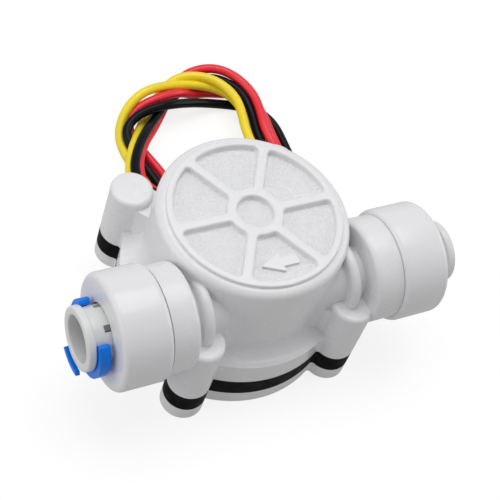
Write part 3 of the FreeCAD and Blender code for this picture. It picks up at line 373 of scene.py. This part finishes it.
# the driver's cross, which runs in from the head's face
HEAD_FACE = 0.05 * MM
CROSS_WIDTH = 0.6 * MM
CROSS_LENGTH = 2.6 * MM
CROSS_DEPTH = 0.6 * MM

# the ears' screw axes lie this far from the body's middle
EAR_ACROSS = 11.55 * MM
EAR_ALONG = 13.15 * MM


def tree_with_inputs(name, kinds):
    """An empty geometry tree with these inputs, and its input node."""
    tree = bpy.data.node_groups.new(name, "GeometryNodeTree")
    for label, kind in kinds.items():
        tree.interface.new_socket(label, in_out="INPUT", socket_type="NodeSocket" + kind)
    tree.interface.new_socket("Geometry", in_out="OUTPUT", socket_type="NodeSocketGeometry")
    return tree, add_node(tree, "NodeGroupInput")


def finish_tree(tree, given, placed):
    """Ends a tree: its instances become one mesh with one material."""
    whole = add_node(tree, "GeometryNodeRealizeInstances", {"Geometry": placed})
    coated = add_node(tree, "GeometryNodeSetMaterial", {
        "Geometry": whole.outputs["Geometry"], "Material": given.outputs["Material"]})
    add_node(tree, "NodeGroupOutput", {"Geometry": coated.outputs["Geometry"]})
    return tree


def corner_tree():
    """Puts one object on the corners of a rectangle."""
    tree, given = tree_with_inputs("at_four_corners", {
        "Across": "Float", "Along": "Float", "Piece": "Object", "Material": "Material"})
    corners = add_node(tree, "GeometryNodeMeshGrid", {
        "Size X": given.outputs["Across"], "Size Y": given.outputs["Along"],
        "Vertices X": 2, "Vertices Y": 2})
    piece = add_node(tree, "GeometryNodeObjectInfo", {"Object": given.outputs["Piece"]})
    placed = add_node(tree, "GeometryNodeInstanceOnPoints", {
        "Points": corners.outputs["Mesh"], "Instance": piece.outputs["Geometry"]})
    return finish_tree(tree, given, placed.outputs["Instances"])


def applied_mesh(piece):
    """The piece's mesh as its modifiers leave it."""
    evaluated = piece.evaluated_get(bpy.context.evaluated_depsgraph_get())
    return bpy.data.meshes.new_from_object(evaluated)


def grow(name, tree, values):
    """The mesh that the tree makes with these inputs, as a plain object."""
    piece = link(name, bpy.data.meshes.new(name))
    modifier = piece.modifiers.new(name, "NODES")
    modifier.node_group = tree
    sockets = {s.name: s.identifier for s in tree.interface.items_tree if s.in_out == "INPUT"}
    for label, value in values.items():
        modifier[sockets[label]] = value
    mesh = applied_mesh(piece)
    mesh.name = name
    piece.modifiers.clear()
    piece.data = mesh
    return piece


def turned_mesh(name, outline, segments):
    """A closed solid of revolution about Z from (radius, height) pairs that start and end on the axis."""
    work = bmesh.new()
    rings = []
    for radius, place in outline:
        if radius == 0:
            rings.append([work.verts.new((0, 0, place))])
            continue
        ring = []
        for i in range(segments):
            angle = math.tau * i / segments
            ring.append(work.verts.new((radius * math.cos(angle), radius * math.sin(angle), place)))
        rings.append(ring)
    for low, high in zip(rings, rings[1:]):
        for i in range(segments):
            j = (i + 1) % segments
            if len(low) == 1:
                work.faces.new((low[0], high[j], high[i]))
            elif len(high) == 1:
                work.faces.new((low[i], low[j], high[0]))
            else:
                work.faces.new((low[i], low[j], high[j], high[i]))
    bmesh.ops.recalc_face_normals(work, faces=work.faces)
    for face in work.faces:
        face.smooth = True
    for edge in work.edges:
        edge.smooth = edge.calc_face_angle(0) < SMOOTH_ANGLE
    mesh = bpy.data.meshes.new(name)
    work.to_mesh(mesh)
    work.free()
    return mesh


def screw_outline(pitch):
    """Half the screw's section: the head, a ridge for each turn of the thread, and the point."""
    outline = [(radius * MM, place * MM) for radius, place in SCREW_HEAD]
    place = THREAD_START
    while place + pitch < THREAD_END:
        outline.append((THREAD_CORE, place))
        outline.append((THREAD_CREST, place + 0.42 * pitch))
        outline.append((THREAD_CORE, place + 0.84 * pitch))
        place += pitch
    return outline + [(radius * MM, place * MM) for radius, place in SCREW_POINT]


def sink_cross(piece):
    """Cuts the driver's cross into the face of the screw's head."""
    cutters = []
    for across, along in ((CROSS_WIDTH, CROSS_LENGTH), (CROSS_LENGTH, CROSS_WIDTH)):
        work = bmesh.new()
        bmesh.ops.create_cube(work, size=1)
        bmesh.ops.scale(work, vec=(across, along, 2 * CROSS_DEPTH), verts=work.verts)
        bmesh.ops.translate(work, vec=(0, 0, HEAD_FACE), verts=work.verts)
        mesh = bpy.data.meshes.new("cross_cutter")
        work.to_mesh(mesh)
        work.free()
        cutter = link("cross_cutter", mesh)
        modifier = piece.modifiers.new("cross", "BOOLEAN")
        modifier.operation = "DIFFERENCE"
        modifier.solver = "EXACT"
        modifier.object = cutter
        cutters.append(cutter)
    mesh = applied_mesh(piece)
    piece.modifiers.clear()
    piece.data = mesh
    for cutter in cutters:
        bpy.data.objects.remove(cutter)


class FLOWSENSOR_OT_screws(bpy.types.Operator):
    """Four threaded cover screws, seated in the cover's ears"""
    bl_idname = "flow_sensor.screws"
    bl_label = "Cover screws"

    def execute(self, context):
        outline = screw_outline(context.scene.flow_sensor_sizes.thread_pitch)
        pattern = link("screw_pattern", turned_mesh("screw_pattern", outline, SCREW_SEGMENTS))
        sink_cross(pattern)
        screws = grow("cover_screws_threaded", corner_tree(), {
            "Across": 2 * EAR_ACROSS, "Along": 2 * EAR_ALONG, "Piece": pattern,
            "Material": MATERIALS["zinc_screw"]})
        settle(screws, "cover_screws")
        bpy.data.objects.remove(pattern)
        return {"FINISHED"}


# wheel, ports, clip and circuit

class FLOWSENSOR_OT_wheel(bpy.types.Operator):
    """Paddle wheel, magnets, axle, bushes and jet"""
    bl_idname = "flow_sensor.wheel"
    bl_label = "Paddle wheel and jet"

    def execute(self, context):
        for node in ("paddle_wheel", "wheel_magnets", "axle", "upper_bush", "lower_bush", "inlet_jet"):
            dress(node)
        return {"FINISHED"}


class FLOWSENSOR_OT_ports(bpy.types.Operator):
    """Caps, collets, tooth rings, seals and spacers of both ports"""
    bl_idname = "flow_sensor.ports"
    bl_label = "Push-fit ports"

    def execute(self, context):
        for side in ("inlet", "outlet"):
            for part in ("cap", "collet", "collet_teeth", "seal", "spacer"):
                dress(side + "_" + part)
        return {"FINISHED"}


class FLOWSENSOR_OT_clip(bpy.types.Operator):
    """Blue lock clip on the outlet collet"""
    bl_idname = "flow_sensor.clip"
    bl_label = "Lock clip"

    def execute(self, context):
        dress("lock_clip")
        return {"FINISHED"}


class FLOWSENSOR_OT_circuit(bpy.types.Operator):
    """Circuit board, pulse sensor chip and potting"""
    bl_idname = "flow_sensor.circuit"
    bl_label = "Pulse circuit"

    def execute(self, context):
        for node in ("circuit_board", "hall_chip", "potting"):
            dress(node)
        return {"FINISHED"}


# wires and plug

# each wire leaves the cover's channel, makes nearly two loose turns behind the body and comes down
# beside it to the plug; the points are millimetres in the part's frame, listed one by one
ROUTES = {
    "yellow": [
        (-1.6, 8.4, 0.8), (-1.6, 15.0, 0.8), (-1.9, 20.0, 0.8), (-3.0, 25.0, 0.8), (-3.8, 29.5, 0.8),
        (-3.5, 33.0, 0.9), (-2.3, 35.4, 1.7), (-0.6, 37.1, 3.0), (1.9, 38.4, 3.9), (4.8, 39.1, 3.9),
        (8.4, 39.3, 3.4), (12.0, 39.0, 2.9), (15.3, 37.9, 2.5), (17.6, 35.4, 2.3), (18.4, 31.6, 1.6),
        (18.6, 26.6, 1.0), (18.3, 21.5, 0.9), (15.0, 21.0, 1.8), (11.0, 20.0, 2.9), (6.5, 18.4, 2.8),
        (1.5, 17.8, 2.4), (-3.4, 17.9, 2.4), (-5.8, 21.4, 2.6), (-5.2, 25.0, 2.7), (-3.3, 28.6, 3.1),
        (-1.2, 31.4, 2.5), (0.7, 34.1, 0.9), (3.2, 37.0, 0.9), (6.0, 39.4, 1.9), (8.9, 40.8, 3.1),
        (11.6, 40.4, 3.7), (14.2, 39.1, 3.95), (16.1, 36.9, 3.95), (17.0, 34.0, 3.95), (16.6, 30.8, 3.95),
        (15.7, 27.2, 3.9), (15.9, 22.0, 3.4), (18.4, 16.0, 2.6), (19.0, 11.0, 2.6), (19.4, 7.5, 2.9),
        (19.4, 4.0, 2.9)],
    "black": [
        (0.0, 8.4, 0.8), (0.0, 15.0, 0.8), (-0.3, 20.0, 0.8), (-1.3, 25.0, 0.8), (-2.3, 28.6, 1.1),
        (-3.0, 31.4, 2.3), (-2.2, 33.5, 2.5), (0.0, 34.8, 3.2), (3.0, 35.2, 3.9), (6.6, 35.4, 3.6),
        (10.6, 36.0, 2.2), (14.5, 36.0, 1.0), (18.2, 34.9, 0.8), (21.6, 32.8, 0.8), (22.9, 29.6, 0.8),
        (22.7, 25.0, 0.8), (22.4, 19.8, 0.8), (18.6, 17.9, 0.8), (13.0, 17.9, 0.8), (8.0, 18.6, 0.9),
        (4.2, 19.6, 1.8), (1.2, 19.0, 3.6), (-3.4, 18.6, 3.95), (-5.2, 21.8, 3.95), (-4.5, 25.2, 3.95),
        (-2.3, 28.6, 3.95), (0.2, 31.4, 3.4), (2.6, 34.0, 2.3), (5.2, 36.4, 2.2), (8.4, 38.6, 1.7),
        (11.8, 40.1, 1.6), (15.1, 40.4, 2.5), (17.2, 38.4, 3.1), (18.7, 35.6, 3.4), (18.8, 31.4, 3.2),
        (17.8, 27.2, 3.0), (17.8, 22.4, 3.0), (20.0, 16.4, 2.6), (21.3, 11.0, 2.6), (21.9, 7.5, 2.9),
        (21.9, 4.0, 2.9)],
    "red": [
        (1.6, 8.4, 0.8), (1.6, 15.0, 0.8), (1.3, 20.0, 0.8), (0.6, 24.4, 0.8), (-0.1, 27.0, 0.8),
        (-0.9, 29.8, 0.8), (-1.6, 33.0, 0.9), (-1.0, 35.6, 1.6), (1.4, 36.8, 2.9), (5.2, 37.3, 3.6),
        (8.6, 37.9, 3.1), (11.5, 38.5, 1.2), (14.2, 38.6, 0.8), (17.0, 37.8, 0.8), (19.7, 35.7, 2.2),
        (21.1, 32.0, 2.3), (21.0, 27.6, 1.6), (21.1, 23.6, 1.2), (20.4, 20.0, 0.9), (16.7, 19.5, 0.9),
        (12.0, 19.6, 0.9), (8.0, 20.6, 1.1), (4.8, 21.3, 2.0), (1.5, 20.1, 2.5), (-2.2, 19.6, 2.4),
        (-4.0, 22.8, 2.6), (-2.9, 26.6, 2.6), (-0.7, 29.8, 2.4), (2.3, 33.0, 0.9), (5.2, 36.2, 0.8),
        (7.4, 38.8, 0.8), (9.2, 41.0, 1.0), (11.6, 42.0, 2.4), (14.6, 41.7, 3.4), (17.1, 40.4, 3.9),
        (19.2, 37.8, 3.95), (20.2, 34.4, 3.95), (19.9, 30.8, 3.95), (19.0, 27.0, 3.9), (19.4, 22.8, 3.3),
        (21.4, 19.8, 2.8), (21.8, 15.4, 2.6), (23.3, 11.0, 2.6), (24.4, 7.5, 2.9), (24.4, 4.0, 2.9)],
}


def wire_curve(name, points, diameter, material):
    """A smooth tube whose control points are the wire's route."""
    curve = bpy.data.curves.new(name, "CURVE")
    curve.dimensions = "3D"
    curve.bevel_depth = diameter / 2
    curve.bevel_resolution = 6
    curve.use_fill_caps = True
    curve.resolution_u = 10
    spline = curve.splines.new("NURBS")
    spline.points.add(len(points) - 1)
    for point, place in zip(spline.points, points):
        point.co = [c * MM for c in place] + [1.0]
    spline.order_u = 3
    spline.use_endpoint_u = True
    curve.materials.append(material)
    return link(name, curve)


def split_contacts():
    """The plug's three contacts as a piece each, named for the wire that ends in it."""
    whole = smooth_copy("plug_contacts", "contacts_whole")
    places = [vertex.co.x for vertex in whole.data.vertices]
    low, high = min(places), max(places)
    count = len(ROUTES)
    contacts = {}
    for number, colour in enumerate(ROUTES):
        work = bmesh.new()
        work.from_mesh(whole.data)
        others = []
        for face in work.faces:
            share = (face.calc_center_median().x - low) / (high - low)
            if min(int(share * count), count - 1) != number:
                others.append(face)
        bmesh.ops.delete(work, geom=others, context="FACES")
        mesh = bpy.data.meshes.new(colour + "_contact")
        work.to_mesh(mesh)
        work.free()
        mesh.materials.append(MATERIALS[SLOT_OF["plug_contacts"]])
        contacts[colour] = settle(link(colour + "_contact", mesh), "plug_contacts")
    bpy.data.objects.remove(whole)
    return contacts


class FLOWSENSOR_OT_wires(bpy.types.Operator):
    """Three wires in loose turns, and the plug at their ends"""
    bl_idname = "flow_sensor.wires"
    bl_label = "Wires and plug"

    def execute(self, context):
        diameter = context.scene.flow_sensor_sizes.wire_diameter
        plug = dress("plug_housing")
        contacts = split_contacts()
        for colour, points in ROUTES.items():
            slot = colour + "_wire"
            wire = wire_curve(slot, points, diameter, MATERIALS[slot])
            nodes = [slot + "_lead", slot + "_tail"]
            if colour == "black":
                nodes.append("wire_coil")
            settle(wire, *nodes)
        return {"FINISHED"}


# stage

LIGHTS_AIM = (0, 0, 0.01)
FLOOR_REACH = 3.0
FLOOR_DROP = 0.02 * MM
FLOOR_WHITE = (0.90, 0.90, 0.90, 1)
FLOOR_GLOW_SHARE = 0.70
FLOOR_GLOW_SEEN = 1.12
FLOOR_GLOW_CAST = 0.40
SKY_SEEN = 1.0
SKY_CAST = 0.36
SKY_MIRRORED_SHARE = 0.5


def area_light(name, place, size, power):
    lamp = bpy.data.lights.new(name, "AREA")
    lamp.shape = "RECTANGLE"
    lamp.size, lamp.size_y = size
    lamp.energy = power
    piece = link(name, lamp)
    piece.location = place
    piece.rotation_euler = (Vector(LIGHTS_AIM) - Vector(place)).to_track_quat("-Z", "Y").to_euler()


def stage_floor():
    """A white floor that keeps the shadow: part diffuse, part its own light, and clear from below."""
    material = bpy.data.materials.new("white_floor")
    material.use_nodes = True
    tree = material.node_tree
    tree.nodes.clear()
    path = add_node(tree, "ShaderNodeLightPath")
    strength = add_node(tree, "ShaderNodeMapRange", {
        "Value": path.outputs["Is Camera Ray"], "To Min": FLOOR_GLOW_CAST, "To Max": FLOOR_GLOW_SEEN})
    diffuse = add_node(tree, "ShaderNodeBsdfDiffuse", {"Color": FLOOR_WHITE})
    glow = add_node(tree, "ShaderNodeEmission", {"Color": (1, 1, 1, 1), "Strength": strength.outputs[0]})
    top = add_node(tree, "ShaderNodeMixShader", {
        0: FLOOR_GLOW_SHARE, 1: diffuse.outputs[0], 2: glow.outputs[0]})
    side = add_node(tree, "ShaderNodeNewGeometry")
    clear = add_node(tree, "ShaderNodeBsdfTransparent")
    both_sides = add_node(tree, "ShaderNodeMixShader", {
        0: side.outputs["Backfacing"], 1: top.outputs[0], 2: clear.outputs[0]})
    add_node(tree, "ShaderNodeOutputMaterial", {"Surface": both_sides.outputs[0]})
    work = bmesh.new()
    bmesh.ops.create_grid(work, x_segments=1, y_segments=1, size=FLOOR_REACH)
    bmesh.ops.translate(work, vec=(0, 0, -FLOOR_DROP), verts=work.verts)
    mesh = bpy.data.meshes.new("floor")
    work.to_mesh(mesh)
    work.free()
    mesh.materials.append(material)
    link("floor", mesh)


def stage_world():
    """A white sky that lights the object softly and shows full white in the view and half in gloss."""
    world = bpy.data.worlds.new("studio")
    bpy.context.scene.world = world
    world.use_nodes = True
    tree = world.node_tree
    tree.nodes.clear()
    path = add_node(tree, "ShaderNodeLightPath")
    mirrored = add_node(tree, "ShaderNodeMath", {
        0: path.outputs["Is Glossy Ray"], 1: SKY_MIRRORED_SHARE}, operation="MULTIPLY")
    seen = add_node(tree, "ShaderNodeMath", {
        0: path.outputs["Is Camera Ray"], 1: mirrored.outputs[0]}, operation="MAXIMUM")
    strength = add_node(tree, "ShaderNodeMapRange", {
        "Value": seen.outputs[0], "To Min": SKY_CAST, "To Max": SKY_SEEN})
    sky = add_node(tree, "ShaderNodeBackground", {
        "Color": (1, 1, 1, 1), "Strength": strength.outputs["Result"]})
    add_node(tree, "ShaderNodeOutputWorld", {"Surface": sky.outputs[0]})


def stage_camera(view):
    """The camera at the photograph's angle, found by fitting the body's and ports' edges."""
    turn, height, roll = view.azimuth, view.elevation, view.roll
    back = Vector((math.sin(turn) * math.cos(height), -math.cos(turn) * math.cos(height), math.sin(height)))
    level = Vector((math.cos(turn), math.sin(turn), 0))
    rise = back.cross(level)
    right = level * math.cos(roll) + rise * math.sin(roll)
    up = rise * math.cos(roll) - level * math.sin(roll)
    place = back * view.distance - right * view.shift_right - up * view.shift_up
    camera = bpy.data.cameras.new("camera")
    camera.lens = view.lens
    camera.clip_start = 10 * MM
    piece = link("camera", camera)
    turned = Matrix((right, up, back)).transposed().to_4x4()
    piece.matrix_world = Matrix.Translation(place) @ turned
    bpy.context.scene.camera = piece


class FLOWSENSOR_OT_stage(bpy.types.Operator):
    """Floor, soft studio light and the camera at the photograph's angle"""
    bl_idname = "flow_sensor.stage"
    bl_label = "Stage"

    def execute(self, context):
        context.scene.view_settings.view_transform = "Standard"
        stage_floor()
        stage_world()
        area_light("overhead", place=(0.02, 0.16, 0.55), size=(0.55, 0.40), power=1.65)
        area_light("left side", place=(-0.55, 0.10, 0.22), size=(0.50, 0.40), power=1.0)
        area_light("right side", place=(0.50, -0.05, 0.26), size=(0.40, 0.30), power=0.70)
        stage_camera(context.scene.flow_sensor_view)
        return {"FINISHED"}


# add-on

OPERATORS = [
    FLOWSENSOR_OT_body,
    FLOWSENSOR_OT_screws,
    FLOWSENSOR_OT_wheel,
    FLOWSENSOR_OT_ports,
    FLOWSENSOR_OT_clip,
    FLOWSENSOR_OT_circuit,
    FLOWSENSOR_OT_wires,
    FLOWSENSOR_OT_stage,
]


class FLOWSENSOR_PT_panel(bpy.types.Panel):
    """Lists the sensor's pieces"""
    bl_idname = "FLOWSENSOR_PT_panel"
    bl_label = "Flow sensor"
    bl_space_type = "VIEW_3D"
    bl_region_type = "UI"
    bl_category = "Flow sensor"

    def draw(self, context):
        for operator in OPERATORS:
            self.layout.operator(operator.bl_idname, text=operator.bl_label)
        for name in GROUPS:
            group = getattr(context.scene, name)
            box = self.layout.box()
            for setting in group.__annotations__:
                box.prop(group, setting)


CLASSES = [*GROUPS.values(), *OPERATORS, FLOWSENSOR_PT_panel]


def register():
    for cls in CLASSES:
        bpy.utils.register_class(cls)
    for name, group in GROUPS.items():
        setattr(bpy.types.Scene, name, bpy.props.PointerProperty(type=group))


def unregister():
    for name in GROUPS:
        delattr(bpy.types.Scene, name)
    for cls in reversed(CLASSES):
        bpy.utils.unregister_class(cls)


def main():
    register()
    make_materials(bpy.context.scene.flow_sensor_finish)
    bpy.ops.flow_sensor.body()
    bpy.ops.flow_sensor.screws()
    bpy.ops.flow_sensor.wheel()
    bpy.ops.flow_sensor.ports()
    bpy.ops.flow_sensor.clip()
    bpy.ops.flow_sensor.circuit()
    bpy.ops.flow_sensor.wires()
    bpy.ops.flow_sensor.stage()


if __name__ == "__main__":
    main()
